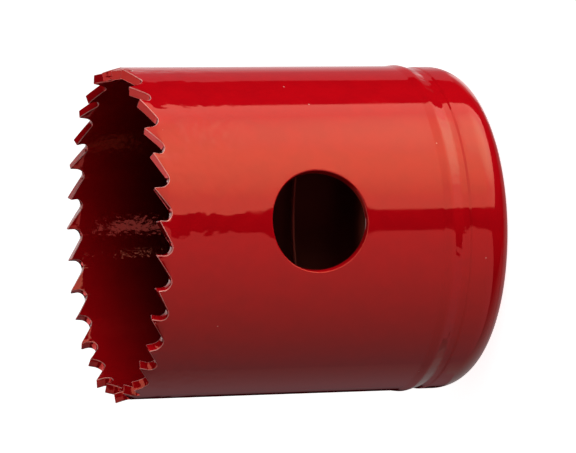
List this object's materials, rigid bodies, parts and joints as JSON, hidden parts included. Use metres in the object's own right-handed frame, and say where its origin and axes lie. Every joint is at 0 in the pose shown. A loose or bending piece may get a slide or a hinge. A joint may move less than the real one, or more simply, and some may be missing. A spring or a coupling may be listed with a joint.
{
  "type": "hole saw",
  "caption": "Cup-shaped saw with set teeth on its rim, side ports, and a threaded arbor hole in its rounded back cap.",
  "frame": {"origin": "centre of the cap's flat back face", "axes": "+Z along the saw's axis, from the back face towards the teeth; -Y through the middle of the first side port; +X along the line of the two drive-pin holes"},
  "size_m": [0.0437, 0.0439, 0.0483],
  "materials": {
    "red_enamel": "gloss"
  },
  "bodies": {
    "root": {"toothed_shell": "red_enamel", "end_cap": "red_enamel"}
  },
  "joints": []
}
